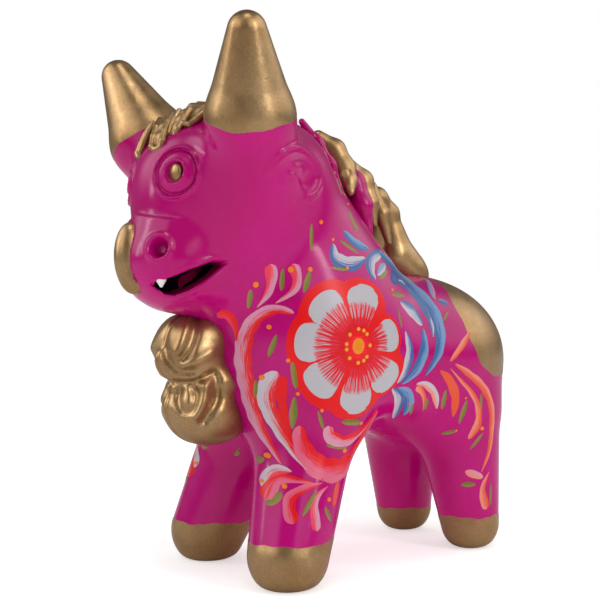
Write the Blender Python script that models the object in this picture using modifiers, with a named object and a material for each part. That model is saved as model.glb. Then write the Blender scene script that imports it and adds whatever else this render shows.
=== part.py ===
"""A hollow pottery bull: moulded shells, solid legs and horns, and the sprigs luted on them.

The bull stands on z = 0 and looks along -Y; its left is +X. The clay forms are given in
millimetres and become metres when a mesh is made.
"""
import math

import bmesh
import bpy
import numpy as np
from mathutils import Matrix, Vector

MM = 0.001

# Driving sizes, in millimetres.
WALL = 5.0                 # clay wall of the moulded shells
GAP = 0.3                  # between the halves of a luted joint
SEAT = 0.6                 # between a sprig and the curved skin under it
LEG_TOP = 42.0             # where the solid legs meet the shells
WAIST = 10.0               # Y that parts the front legs from the hind legs
NECK_POINT = (0, -40, 120)  # a point on the joint between head and neck
NECK_LEAN = math.radians(30)   # lean of that joint from upright
HORN_ROOT = (36, -58, 162)
HORN_TIP = (47, -65, 188)
HORN_RADII = (15, 6.5)
HEAD_PIVOT = (0, -40, 185)
HEAD_TILT = math.radians(2.2)  # the head was set on a little low on the right
EYE = (16.8, -76.2, 145.0)
EYE_TURN = math.radians(23)    # each eye's turn away from straight ahead
EYE_RADIUS = 7.8
NOSTRIL = (13.8, -84.0, 119.5)
NOSTRIL_FACING = (0.59, -0.78, 0.2)
NOSTRIL_RADIUS = 3.6
REACH = 16.0               # sprigs farther apart than this can't touch
SKIN_CELL = 2.2
SKIN_TRIANGLES = 4600
HOLLOW_CELL = 3.4
HOLLOW_TRIANGLES = 1400

# Each row is a rounded mass and the width of the fillet that joins it to the rest:
# ("egg", centre, radii) or ("taper", end, radius, other end, radius), mirrored in X.
TRUNK = (
    (("egg", (0, 14, 79), (38, 56, 30)), 0),
    (("egg", (0, -20, 85), (38, 36, 38)), 14),
    (("egg", (0, 42, 74), (36, 35.5, 31.5)), 12),
    (("taper", (0, -12, 101), 35, (0, -34, 135), 31), 14),
    (("taper", (18, -24, 53), 18, (28, -39, 11), 14.5), 18),
    (("taper", (18, 49, 51), 17, (21, 53, 9.5), 11.5), 13),
)
HEAD = (
    (("egg", (0, -38, 146), (32, 24, 20)), 0),
    (("egg", (0, -54, 146), (29.5, 25, 20)), 12),
    (("egg", (0, -57, 131), (26.5, 24.5, 26)), 10),
    (("egg", (0, -69, 116), (22, 18.5, 17)), 5),
    (("egg", (0, -62, 107), (19, 18, 10)), 6),
    (("taper", (25, -50, 148), 17, HORN_ROOT, HORN_RADII[0]), 8),
    (("taper", HORN_ROOT, HORN_RADII[0], HORN_TIP, HORN_RADII[1]), 2),
)
NECK_FILLET = 14
TILT = (Matrix.Translation(HEAD_PIVOT) @ Matrix.Rotation(-HEAD_TILT, 4, "Y")
        @ Matrix.Translation(HEAD_PIVOT).inverted())
SET_BACK = 2.8             # the origin is the middle of the footprint, a little before the form's
TO_METRES = Matrix.Scale(MM, 4) @ Matrix.Translation((0, SET_BACK, 0))
SOLE = -0.6                # the skin is rounded into this height, then cut flat at z = 0
SOLE_FILLET = 3.0

# Colours, roughness and metallic value of each finish.
MAGENTA = ((0.46, 0.03, 0.20), 0.15, 0.0)
GILT = ((0.43, 0.29, 0.13), 0.35, 0.85)
IVORY = ((0.80, 0.78, 0.74), 0.25, 0.0)


# ---- rounded forms as distance fields -------------------------------------------------------

def egg(p, centre, radii):
    """Distance to an ellipsoid, exact enough near its surface."""
    q = p - np.array(centre, float)
    radii = np.array(radii, float)
    k0 = np.linalg.norm(q / radii, axis=1)
    k1 = np.linalg.norm(q / radii ** 2, axis=1)
    return k0 * (k0 - 1.0) / np.maximum(k1, 1e-6)


def taper(p, a, ra, b, rb):
    """Distance to a tapered rod with round ends."""
    a = np.array(a, float)
    ba = np.array(b, float) - a
    length2 = ba @ ba
    rr = ra - rb
    a2 = length2 - rr * rr
    pa = p - a
    y = pa @ ba
    z = y - length2
    x2 = ((pa * length2 - y[:, None] * ba) ** 2).sum(1)
    y2 = y * y * length2
    z2 = z * z * length2
    k = math.copysign(1.0, rr) * rr * rr * x2
    d = (np.sqrt(x2 * a2 / length2) + y * rr) / length2 - ra
    d = np.where(np.sign(y) * a2 * y2 < k, np.sqrt(x2 + y2) / length2 - ra, d)
    return np.where(np.sign(z) * a2 * z2 > k, np.sqrt(x2 + z2) / length2 - rb, d)


SHAPES = {"egg": egg, "taper": taper}


def join(a, b, fillet):
    if not fillet:
        return np.minimum(a, b)
    h = np.maximum(fillet - np.abs(a - b), 0.0) / fillet
    return np.minimum(a, b) - h * h * fillet * 0.25


def clay(p, masses):
    """Distance to a list of masses joined by fillets."""
    d = None
    for (kind, *sizes), fillet in masses:
        part = SHAPES[kind](p, *sizes)
        d = part if d is None else join(d, part, fillet)
    return d


def untilted(p):
    """Points as the head's own upright frame sees them."""
    turn = np.array(TILT.to_3x3())
    return (p - np.array(TILT.translation)) @ turn


def skin(p):
    """Distance to the outside of the bull, without its sprigs."""
    trunk = clay(np.column_stack((np.abs(p[:, 0]), p[:, 1:])), TRUNK)
    q = untilted(p)
    head = clay(np.column_stack((np.abs(q[:, 0]), q[:, 1:])), HEAD)
    return -join(-join(trunk, head, NECK_FILLET), p[:, 2] - SOLE, SOLE_FILLET)


def hollow(p):
    """Distance to the hollow inside the shells, which stays above the legs."""
    return np.maximum(skin(p) + WALL, LEG_TOP - 10 - p[:, 2])


# ---- meshes from forms ----------------------------------------------------------------------

def add_mass(bm, kind, sizes):
    """Adds the plain solid that a mass starts from."""
    if kind == "egg":
        centre, radii = sizes
        place = Matrix.Translation(centre) @ Matrix.Diagonal((*radii, 1.0))
        bmesh.ops.create_uvsphere(bm, u_segments=32, v_segments=16, radius=1.0, matrix=place)
    else:
        a, ra, b, rb = sizes
        axis = Vector(b) - Vector(a)
        turn = axis.to_track_quat("Z", "Y").to_matrix().to_4x4()
        middle = Matrix.Translation((Vector(a) + Vector(b)) / 2) @ turn
        bmesh.ops.create_cone(bm, cap_ends=True, segments=24, radius1=ra, radius2=rb,
                              depth=axis.length, matrix=middle)
        for end, radius in ((a, ra), (b, rb)):
            bmesh.ops.create_uvsphere(bm, u_segments=24, v_segments=12, radius=radius,
                                      matrix=Matrix.Translation(end))


def settled(p, field, rounds=6):
    """Points moved along the field's slope until they lie on the form's surface."""
    p = np.array(p, float)
    step = 0.05
    for _ in range(rounds):
        slope = np.empty_like(p)
        for axis in range(3):
            side = np.zeros(3)
            side[axis] = step
            slope[:, axis] = (field(p + side) - field(p - side)) / (2 * step)
        size2 = np.maximum((slope ** 2).sum(1), 0.25)
        p -= slope * np.clip(field(p) / size2, -4, 4)[:, None]
    return p


def settle(mesh, field):
    p = np.empty(len(mesh.vertices) * 3)
    mesh.vertices.foreach_get("co", p)
    mesh.vertices.foreach_set("co", settled(p.reshape(-1, 3), field).ravel())


def evaluated(obj):
    """The object's mesh with its modifiers applied."""
    graph = bpy.context.evaluated_depsgraph_get()
    mesh = bpy.data.meshes.new_from_object(obj.evaluated_get(graph))
    bpy.data.objects.remove(obj)
    return mesh


def fused(mesh, cell, voxel=True, ratio=1.0):
    """Fuses overlapping solids into one skin of small cells, or thins a skin to a ratio."""
    obj = bpy.data.objects.new("work", mesh)
    bpy.context.scene.collection.objects.link(obj)
    if voxel:
        remesh = obj.modifiers.new("fuse", "REMESH")
        remesh.mode = "VOXEL"
        remesh.voxel_size = cell
    else:
        thin = obj.modifiers.new("thin", "DECIMATE")
        thin.ratio = ratio
    return evaluated(obj)


def drop_crumbs(mesh):
    """Keeps the largest body of a mesh and drops any crumb left beside it."""
    bm = bmesh.new()
    bm.from_mesh(mesh)
    bodies = []
    waiting = set(bm.verts)
    while waiting:
        body = set()
        edge_of_body = [waiting.pop()]
        while edge_of_body:
            vert = edge_of_body.pop()
            body.add(vert)
            near = {e.other_vert(vert) for e in vert.link_edges} & waiting
            waiting -= near
            edge_of_body.extend(near)
        bodies.append(body)
    bodies.sort(key=len)
    for body in bodies[:-1]:
        bmesh.ops.delete(bm, geom=list(body), context="VERTS")
    bm.to_mesh(mesh)
    bm.free()


def form_mesh(name, masses, field, cell, triangles, place=Matrix.Identity(4), mirrored=False):
    """One closed mesh in metres on the field's surface, thinned to about the given triangles."""
    bm = bmesh.new()
    for (kind, *sizes), _ in masses:
        add_mass(bm, kind, sizes)
        if mirrored and kind != "egg":
            flip = [tuple(Vector(v) * Vector((-1, 1, 1))) if isinstance(v, tuple) else v
                    for v in sizes]
            add_mass(bm, kind, flip)
    bmesh.ops.recalc_face_normals(bm, faces=bm.faces)
    bmesh.ops.transform(bm, matrix=place, verts=bm.verts)
    mesh = bpy.data.meshes.new(name)
    bm.to_mesh(mesh)
    bm.free()
    mesh = fused(mesh, cell)
    settle(mesh, field)
    mesh = fused(mesh, cell)
    settle(mesh, field)
    faces = sum(len(f.vertices) - 2 for f in mesh.polygons)
    mesh = fused(mesh, cell, voxel=False, ratio=min(1.0, triangles / faces))
    drop_crumbs(mesh)
    mesh.transform(TO_METRES)
    mesh.name = name
    return mesh


# ---- objects --------------------------------------------------------------------------------

def finish(name, values):
    colour, roughness, metallic = values
    material = bpy.data.materials.new(name)
    material.use_nodes = True
    shader = material.node_tree.nodes["Principled BSDF"]
    shader.inputs["Base Color"].default_value = (*colour, 1.0)
    shader.inputs["Roughness"].default_value = roughness
    shader.inputs["Metallic"].default_value = metallic
    return material


def add_piece(name, mesh, values):
    mesh = mesh.copy()
    mesh.name = name
    mesh.materials.clear()
    mesh.materials.append(finish(name, values))
    mesh.shade_smooth()
    obj = bpy.data.objects.new(name, mesh)
    pieces.objects.link(obj)
    return obj


def add_cutter(name, mesh):
    obj = bpy.data.objects.new(name, mesh)
    obj.hide_render = True
    obj.display_type = "WIRE"
    cutters.objects.link(obj)
    return obj


def box_cutter(name, low, high, place=Matrix.Identity(4)):
    """A box between two corners given in millimetres in its own frame."""
    low = Vector(low)
    high = Vector(high)
    size = high - low
    bm = bmesh.new()
    inner = Matrix.Translation((low + high) / 2) @ Matrix.Diagonal((*size, 1.0))
    bmesh.ops.create_cube(bm, size=1.0, matrix=TO_METRES @ place @ inner)
    mesh = bpy.data.meshes.new(name)
    bm.to_mesh(mesh)
    bm.free()
    return add_cutter(name, mesh)


def cut(obj, cutter, operation="DIFFERENCE"):
    boolean = obj.modifiers.new(cutter.name, "BOOLEAN")
    boolean.operation = operation
    boolean.object = cutter
    boolean.solver = "EXACT"


def side_name(stem, side):
    return stem + ("_left" if side > 0 else "_right")


def sprig(name, masses, values, cell, triangles, trim=None, on_head=False):
    """A small solid luted on the skin: its masses, less the skin, the trim and its neighbours."""
    place = TILT if on_head else Matrix.Identity(4)

    def own(p):
        return clay(untilted(p) if on_head else p, masses)

    marks = [place @ Vector(size) for (_, *sizes), _ in masses for size in sizes
             if isinstance(size, tuple) and size[2] > 30]
    neighbours = [other for other in luted if other(np.array(marks)).min() < REACH]

    def field(p):
        d = np.maximum(own(p), SEAT - skin(p))
        for neighbour in neighbours:
            d = np.maximum(d, SEAT - neighbour(p))
        return d if trim is None else np.maximum(d, trim(untilted(p) if on_head else p))
    luted.append(own)
    return add_piece(name, form_mesh(name, masses, field, cell, triangles, place), values)


def hoop(centre, normal, radius, points=16):
    """Points round a circle, back to the first."""
    turn = Vector(normal).to_track_quat("Z", "Y").to_matrix()
    angles = [math.tau * n / points for n in range(points + 1)]
    return [Vector(centre) + turn @ Vector((math.cos(a), math.sin(a), 0)) * radius
            for a in angles]


def coil(name, path, radii, values, cell, triangles, trim=None, on_head=False):
    """A tapering roll of clay pressed on the skin along a path of nearby points."""
    path = [Vector(point) for point in path]
    if on_head:
        path = [TILT @ point for point in path]
    path = [tuple(point) for point in settled(path, skin)]
    masses = [(("taper", a, ra, b, rb), 1) for a, ra, b, rb
              in zip(path, radii, path[1:], radii[1:])]
    return sprig(name, masses, values, cell, triangles, trim)


# ---- the bull -------------------------------------------------------------------------------

def make_shells():
    """The moulded shells, the solid legs and the solid horns, all cut from one skin."""
    body = TRUNK + HEAD
    outside = form_mesh("skin", body, skin, SKIN_CELL, SKIN_TRIANGLES, mirrored=True)
    inside = add_cutter("hollow", form_mesh("hollow", body, hollow, HOLLOW_CELL,
                                            HOLLOW_TRIANGLES, mirrored=True))
    half = GAP / 2
    lean = Matrix.Translation(NECK_POINT) @ Matrix.Rotation(NECK_LEAN, 4, "X").inverted()
    ahead = box_cutter("ahead_of_neck", (-90, -120, -120), (90, half, 120), lean)
    behind = box_cutter("behind_neck", (-90, -half, -200), (90, 200, 120), lean)

    for side in (1, -1):
        torso = add_piece(side_name("torso_shell", side), outside, MAGENTA)
        edges = sorted((side * half, side * 90))
        block = box_cutter(side_name("torso_block", side), (edges[0], -120, LEG_TOP + half),
                           (edges[1], 120, 220))
        cut(torso, block, "INTERSECT")
        cut(torso, inside)
        cut(torso, ahead)

    head = add_piece("head_shell", outside, MAGENTA)
    cut(head, inside)
    cut(head, behind)
    cut(head, mouth_cutter())
    for side in (1, -1):
        root = TILT @ (Vector(HORN_ROOT) * Vector((side, 1, 1)))
        tip = TILT @ (Vector(HORN_TIP) * Vector((side, 1, 1)))
        along = (tip - root).to_track_quat("Z", "Y").to_matrix().to_4x4()
        place = Matrix.Translation(root) @ along
        cut(head, box_cutter(side_name("horn_place", side), (-25, -25, 0), (25, 25, 60), place))
        horn = add_piece(side_name("horn", side), outside, GILT)
        cut(horn, box_cutter(side_name("horn_block", side), (-25, -25, GAP), (25, 25, 60), place),
            "INTERSECT")

    for stem, low, high in (("front_leg", -90, WAIST), ("hind_leg", WAIST, 120)):
        for side in (1, -1):
            leg = add_piece(side_name(stem, side), outside, MAGENTA)
            edges = sorted((side * half, side * 90))
            block = box_cutter(side_name(stem + "_block", side), (edges[0], low, 0),
                               (edges[1], high, LEG_TOP - half))
            cut(leg, block, "INTERSECT")


def mouth_cutter():
    """A wedge from cheek to cheek, open in front and closing at the corners of the smile."""
    outline = ((-58, 115.5), (-66, 109.6), (-73, 105.0), (-78, 103.2), (-96, 103.2),
               (-96, 107.6), (-82, 108.4), (-74, 111.6), (-66, 114.2))
    bm = bmesh.new()
    verts = [bm.verts.new((-26, y, z)) for y, z in outline]
    face = bm.faces.new(verts)
    swept = bmesh.ops.extrude_face_region(bm, geom=[face])
    moved = [v for v in swept["geom"] if isinstance(v, bmesh.types.BMVert)]
    bmesh.ops.translate(bm, verts=moved, vec=(52, 0, 0))
    bmesh.ops.recalc_face_normals(bm, faces=bm.faces)
    bmesh.ops.transform(bm, matrix=TO_METRES @ TILT, verts=bm.verts)
    mesh = bpy.data.meshes.new("mouth")
    bm.to_mesh(mesh)
    bm.free()
    return add_cutter("mouth", mesh)


def make_face():
    """Eye rings, pupils, nostril rings, ears, teeth and the tongue."""
    for side in (1, -1):
        eye = (side * EYE[0], EYE[1], EYE[2])
        gaze = (side * math.sin(EYE_TURN), -math.cos(EYE_TURN), 0.0)
        rim = hoop(eye, gaze, EYE_RADIUS)
        coil(side_name("eye_ring", side), rim, [1.5] * len(rim), MAGENTA, 0.5, 300, on_head=True)
        sprig(side_name("pupil", side), ((("egg", eye, (3.0, 2.8, 3.6)), 0),),
              GILT, 0.5, 100, on_head=True)

        nose = (side * NOSTRIL[0], NOSTRIL[1], NOSTRIL[2])
        out = (side * NOSTRIL_FACING[0], NOSTRIL_FACING[1], NOSTRIL_FACING[2])
        rim = hoop(nose, out, NOSTRIL_RADIUS)
        coil(side_name("nostril_ring", side), rim, [1.3] * len(rim), MAGENTA, 0.45, 200,
             on_head=True)

        leaf = ((("egg", (side * 39, -42, 145), (7, 13, 9)), 0),
                (("egg", (side * 36, -34, 145), (6, 8, 9)), 4))

        def dish(p, side=side):
            return -egg(p, (side * 49, -40, 144), (5.5, 8, 5))
        sprig(side_name("ear", side), leaf, MAGENTA, 0.9, 260, dish, on_head=True)

        fang = ((("taper", (side * 12.6, -80, 107.0), 1.7, (side * 12.3, -79.4, 104.7), 0.6), 0),)
        tooth = form_mesh("tooth", fang, lambda p, fang=fang: clay(untilted(p), fang), 0.4, 90, TILT)
        add_piece(side_name("tooth", side), tooth, IVORY)

    tongue = ((("taper", (0, -80, 105.5), 1.6, (0, -87, 105.4), 1.7), 0),
              (("egg", (0, -85.4, 108), (6, 3.6, 4.5)), 3),
              (("egg", (0, -85.2, 117), (6.6, 5.0, 10.5)), 3))
    sprig("tongue", tongue, GILT, 0.8, 320, on_head=True)


def make_hair():
    """The forelock's strands, the mane's locks, the two lobes of the dewlap and the tail."""
    strands = (
        ((-14, -71, 162), (-7, -77.5, 152.5)),
        ((-6, -69, 164), (1.5, -77.5, 154.5)),
        ((2, -65, 166), (8.5, -74.0, 158.5)),
        ((9, -59, 167), (15, -67, 161.0)),
        ((-1, -56, 169), (11, -50, 166.0)),
    )
    for number, path in enumerate(strands, 1):
        coil(f"forelock_strand_{number}", path, (3.4, 2.7), GILT, 0.6, 140, on_head=True)

    locks = (
        ((6.5, -10, 163), (15, -2, 152), (19, 6, 140)),
        ((6.5, 3, 155), (15, 10, 143), (18, 17, 130)),
        ((6, 14, 143), (13, 21, 131), (16, 27, 119)),
    )
    for number, path in enumerate(locks, 1):
        for side in (1, -1):
            turned = [(side * x, y, z) for x, y, z in path]
            coil(side_name(f"mane_lock_{number}", side), turned, (5.6, 4.8, 2.4), GILT, 0.8, 170,
                 lambda p, side=side: GAP - side * p[:, 0])

    split = 73.0
    upper = ((("egg", (0, -58, 88), (12, 11, 9)), 0),
             (("egg", (0, -62, 79), (13, 13, 9)), 5),
             (("egg", (6, -64, 80), (7, 8, 8)), 2),
             (("egg", (-6, -64, 80), (7, 8, 8)), 2))
    lower = ((("egg", (0, -58, 63), (13.5, 14, 10)), 0),
             (("egg", (0, -55, 57.5), (12.5, 14, 9)), 5),
             (("egg", (6, -62, 63), (7, 8, 8)), 2),
             (("egg", (-6, -62, 63), (7, 8, 8)), 2))
    sprig("dewlap_upper", upper, GILT, 1.2, 340, lambda p: split + GAP / 2 - p[:, 2])
    sprig("dewlap_lower", lower, GILT, 1.2, 360, lambda p: p[:, 2] - split + GAP / 2)

    tail = ((("taper", (0, 76, 90), 4.5, (2, 80, 72), 4.0), 0),
            (("taper", (2, 80, 72), 4.0, (3, 76, 52), 5.0), 2),
            (("egg", (3, 73, 44), (6, 6, 10)), 4))
    sprig("tail", tail, GILT, 1.0, 320)


def make_handle():
    """The loop on the withers, its eye closed by a thin web of clay."""
    loop = ((("taper", (0, 15, 140), 4.5, (0, 23, 139), 4.6), 0),
            (("taper", (0, 23, 139), 4.6, (0, 29, 133), 4.4), 2),
            (("taper", (0, 29, 133), 4.4, (0, 31, 124), 4.8), 2),
            (("taper", (0, 31, 124), 4.8, (0, 39, 112), 6.0), 4),
            (("taper", (0, 32, 116), 7.0, (0, 41, 108), 7.0), 4),
            (("egg", (0, 23, 127), (2.2, 9, 12)), 1))
    sprig("back_handle", loop, GILT, 1.0, 460)


for old in list(bpy.data.objects):
    bpy.data.objects.remove(old)
luted = []                 # the forms of the sprigs made so far; the next ones keep clear of them
pieces = bpy.data.collections.new("pottery_bull")
cutters = bpy.data.collections.new("cutters")
bpy.context.scene.collection.children.link(pieces)
bpy.context.scene.collection.children.link(cutters)
make_shells()
make_face()
make_hair()
make_handle()
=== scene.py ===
"""The looks of a pottery bull: one glazed skin, gilded sprigs, and flowers painted with a brush.

Forms are worked out in millimetres, in the frame that the clay was modelled in: the bull looks
along -Y and its left is +X. A mesh becomes metres when it is finished.
"""
import math
from contextlib import contextmanager

import bmesh
import bpy
import numpy as np
from mathutils import Matrix, Vector


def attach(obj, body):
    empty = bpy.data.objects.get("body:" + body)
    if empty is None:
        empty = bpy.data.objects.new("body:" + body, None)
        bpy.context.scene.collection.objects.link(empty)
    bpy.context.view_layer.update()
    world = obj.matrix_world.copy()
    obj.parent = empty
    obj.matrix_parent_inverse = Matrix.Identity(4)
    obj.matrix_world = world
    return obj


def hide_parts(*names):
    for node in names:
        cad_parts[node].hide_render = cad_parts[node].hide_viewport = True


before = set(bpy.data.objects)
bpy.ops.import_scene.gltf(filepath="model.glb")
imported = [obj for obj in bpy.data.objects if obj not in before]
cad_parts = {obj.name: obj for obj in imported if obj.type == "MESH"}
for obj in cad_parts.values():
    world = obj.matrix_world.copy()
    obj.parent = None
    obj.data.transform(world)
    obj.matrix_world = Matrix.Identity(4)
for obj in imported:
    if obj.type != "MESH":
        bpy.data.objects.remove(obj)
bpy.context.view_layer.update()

# Driving sizes, in millimetres and radians, as on the clay.
MM = 0.001
SET_BACK = 2.8
HORN_ROOT = (36, -58, 162)
HORN_TIP = (47, -65, 188)
HORN_RADII = (15, 6.5)
HEAD_PIVOT = (0, -40, 185)
HEAD_TILT = math.radians(2.2)
NECK_FILLET = 14
SOLE = -0.6
SOLE_FILLET = 3.0
EYE = (16.4, -76.6, 145.0)
EYE_TURN = math.radians(17)
NOSTRIL = (13.4, -81.5, 119.4)
NOSTRIL_FACING = (0.59, -0.78, 0.2)
RUMP = (62, 92, 24)        # Y and Z of the middle of the gilded rump, and its radius
HOOF_BORDERS = {"front_left": 17.0, "front_right": 15.8, "hind_left": 13.6, "hind_right": 10.4}
WAIST = 10.0
VIEW_TURN = math.radians(54.57)    # the camera's way round from straight ahead
HEART = (39.8, -16.2, 84.8)    # the painted flower's heart, on the left flank
FLANK_TURN = math.radians(72)  # the flank's drawing plane faces this way round from straight ahead
CLEAR_OF_FLANK = 55.0      # how far out of the heart the drawing plane starts
LEG_ASIDE = 24             # X of the middle of each leg
RUMP_FRONT = 20            # Y that the rump's gilding stays behind
SLOT_REACH = 30            # half the width of the wedge that cuts the mouth
MOUTH_FLOOR = 5            # points of the mouth's outline that lie along its floor
ROUGH_CELL = 1.8
SKIN_CELL = 1.4
BEAD_CELL = 0.25
SPRIG_SUNK = 0.5           # depth of a sprig's underside in the skin
GILDING = 0.10             # height of the gold paint on the glaze, and of its sunk rim
GILDING_RIM = -0.03
PAINT_RIM = -0.06          # height of the sunk rim of a brush stroke
KEPT_PAST_BORDER = 3       # skin kept past a gilding's border while it is cut
FINE_BORDER = 2.4          # width on each side of a border that gets finer cells
FAR_OUT = 50               # a border's value where there is no gilding

# Each row is a rounded mass and the width of the fillet that joins it to the rest:
# ("egg", centre, radii) or ("taper", end, radius, other end, radius), mirrored in X.
TRUNK = (
    (("egg", (0, 14, 79), (38, 56, 30)), 0),
    (("egg", (0, -20, 85), (38, 36, 38)), 14),
    (("egg", (0, 42, 74), (36, 35.5, 31.5)), 12),
    (("taper", (0, -12, 101), 35, (0, -34, 135), 31), 14),
    (("taper", (18, -24, 53), 18, (28, -39, 11), 14.5), 18),
    (("taper", (18, 49, 51), 17, (21, 53, 9.5), 11.5), 13),
)
HEAD = (
    (("egg", (0, -38, 146), (32, 24, 20)), 0),
    (("egg", (0, -54, 146), (29.5, 25, 20)), 12),
    (("egg", (0, -57, 131), (26.5, 24.5, 26)), 10),
    (("egg", (0, -69, 116), (22, 18.5, 17)), 5),
    (("egg", (0, -62, 107), (19, 18, 10)), 6),
    (("taper", (25, -50, 148), 17, HORN_ROOT, HORN_RADII[0]), 8),
    (("taper", HORN_ROOT, HORN_RADII[0], HORN_TIP, HORN_RADII[1]), 2),
)
# The mouth's slot as Y and Z in the head's upright frame, its floor first.
MOUTH = ((-60.5, 113.9), (-66, 109.6), (-73, 105.0), (-76, 103.6), (-78.6, 104.0),
         (-82.6, 107.5), (-80, 108.7), (-74, 111.6), (-66, 114.2))
TILT = (Matrix.Translation(HEAD_PIVOT) @ Matrix.Rotation(-HEAD_TILT, 4, "Y")
        @ Matrix.Translation(HEAD_PIVOT).inverted())
TO_METRES = Matrix.Scale(MM, 4) @ Matrix.Translation((0, SET_BACK, 0))


# ---- rounded forms as distance fields -------------------------------------------------------

def egg(p, centre, radii):
    q = p - np.array(centre, float)
    radii = np.array(radii, float)
    k0 = np.linalg.norm(q / radii, axis=1)
    k1 = np.linalg.norm(q / radii ** 2, axis=1)
    return k0 * (k0 - 1.0) / np.maximum(k1, 1e-6)


def taper(p, a, ra, b, rb):
    a = np.array(a, float)
    ba = np.array(b, float) - a
    length2 = ba @ ba
    rr = ra - rb
    a2 = length2 - rr * rr
    pa = p - a
    y = pa @ ba
    z = y - length2
    x2 = ((pa * length2 - y[:, None] * ba) ** 2).sum(1)
    y2 = y * y * length2
    z2 = z * z * length2
    k = math.copysign(1.0, rr) * rr * rr * x2
    d = (np.sqrt(x2 * a2 / length2) + y * rr) / length2 - ra
    d = np.where(np.sign(y) * a2 * y2 < k, np.sqrt(x2 + y2) / length2 - ra, d)
    return np.where(np.sign(z) * a2 * z2 > k, np.sqrt(x2 + z2) / length2 - rb, d)


SHAPES = {"egg": egg, "taper": taper}


def join(a, b, fillet):
    if not fillet:
        return np.minimum(a, b)
    h = np.maximum(fillet - np.abs(a - b), 0.0) / fillet
    return np.minimum(a, b) - h * h * fillet * 0.25


def carve(a, b, fillet):
    return -join(-a, b, fillet)


def clay(p, masses):
    d = None
    for (kind, *sizes), fillet in masses:
        part = SHAPES[kind](p, *sizes)
        d = part if d is None else join(d, part, fillet)
    return d


def untilted(p):
    turn = np.array(TILT.to_3x3())
    return (p - np.array(TILT.translation)) @ turn


def one_side(p):
    return np.column_stack((np.abs(p[:, 0]), p[:, 1:]))


def skin(p):
    trunk = clay(one_side(p), TRUNK)
    head = clay(one_side(untilted(p)), HEAD)
    return -join(-join(trunk, head, NECK_FILLET), p[:, 2] - SOLE, SOLE_FILLET)


def ridge(distance, width):
    return np.exp(-(distance / width) ** 2)


def ramp(value, start, end):
    t = np.clip((value - start) / (end - start), 0.0, 1.0)
    return t * t * (3.0 - 2.0 * t)


def outline_distance(y, z, outline):
    """Signed distance to a closed outline in the YZ plane, negative inside."""
    nearest = np.full(len(y), 1e9)
    inside = np.zeros(len(y), bool)
    for (y0, z0), (y1, z1) in zip(outline, outline[1:] + outline[:1]):
        ey, ez = y1 - y0, z1 - z0
        t = np.clip(((y - y0) * ey + (z - z0) * ez) / (ey * ey + ez * ez), 0, 1)
        nearest = np.minimum(nearest, (y - y0 - t * ey) ** 2 + (z - z0 - t * ez) ** 2)
        if ez:
            inside ^= ((z0 > z) != (z1 > z)) & (y < (z - z0) * ey / ez + y0)
    return np.where(inside, -1, 1) * np.sqrt(nearest)


def round_about(q, centre, facing):
    """Distance ahead of a point along its facing, and the offset sideways from that line."""
    facing = np.array(facing, float)
    facing /= np.linalg.norm(facing)
    away = q - np.array(centre, float)
    ahead = away @ facing
    return ahead, away - ahead[:, None] * facing


GAZE = (math.sin(EYE_TURN), -math.cos(EYE_TURN), 0.0)


def eye_reach(q):
    ahead, off = round_about(q, EYE, GAZE)
    return np.linalg.norm(off, axis=1), ramp(ahead, -9, -6)


def relief(q):
    """Height of the modelling on the face and ears, in the head's own upright frame."""
    r, ahead = eye_reach(q)
    h = ahead * (0.9 * ridge(r - 8.7, 0.55) - 0.7 * ridge(r - 7.6, 0.6)
                 + 0.5 * ramp(r, 7.4, 5.0) + 0.5 * ridge(r - 4.2, 0.6) - 1.9 * ramp(r, 3.9, 2.9))
    ahead, off = round_about(q, NOSTRIL, NOSTRIL_FACING)
    r = np.linalg.norm(off, axis=1)
    h += ramp(ahead, -8, -5) * (0.8 * ridge(r - 4.5, 1.0) - 4.4 * np.exp(-(r / 2.8) ** 4))
    step = 132.3 - 0.17 * q[:, 0] - q[:, 2]
    front = ramp(q[:, 1], -60, -68) * ramp(q[:, 0], 20.5, 14.5)
    h += 0.9 * front * ramp(step, -0.4, 1.1) * (1 - ramp(step, 1.5, 12))
    return h + ear(q)


def ear(q):
    """A low cupped ear lying back along the side of the head."""
    y, z = q[:, 1] + 41.7, q[:, 2] - 142.8
    reach = np.hypot(y / 14.0, z / 9.0)
    turn = np.arctan2(z / 9.0, y / 14.0)
    rim = ramp(np.cos(turn - 0.95), -0.75, 0.15)
    h = 1.4 * rim * ridge((reach - 1.0) * 10.0, 1.2)
    h -= 1.2 * (0.1 + 0.9 * rim) * ramp(reach, 1.0, 0.4)
    bump = np.hypot((y - 1.0 + 0.2 * z) / 4.6, (z - 2.6) / 1.7)
    h += 1.1 * ridge(bump, 1.1)
    root = np.hypot((y + 10.5) / 3.6, (z + 0.4) / 1.6)
    h -= 0.7 * ridge(root, 1.2)
    return h * ramp(q[:, 0], 24, 30)


def mouth(q):
    """Distance to the mouth's slot, which runs through the muzzle from cheek to cheek."""
    return outline_distance(q[:, 1], q[:, 2], MOUTH)


def modelled(p):
    """The outside of the bull with its face and ears modelled."""
    d = skin(p)
    q = one_side(untilted(p))
    near = (q[:, 2] > 90) & (q[:, 1] < 50)
    if near.any():
        head = q[near]
        part = d[near] - relief(head)
        slot = mouth(head)
        lips = 0.25 * ridge(slot - 1.3, 1.0)
        d[near] = carve(part - lips, slot, 1.5)
    return d


# ---- meshes from forms ----------------------------------------------------------------------

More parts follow.
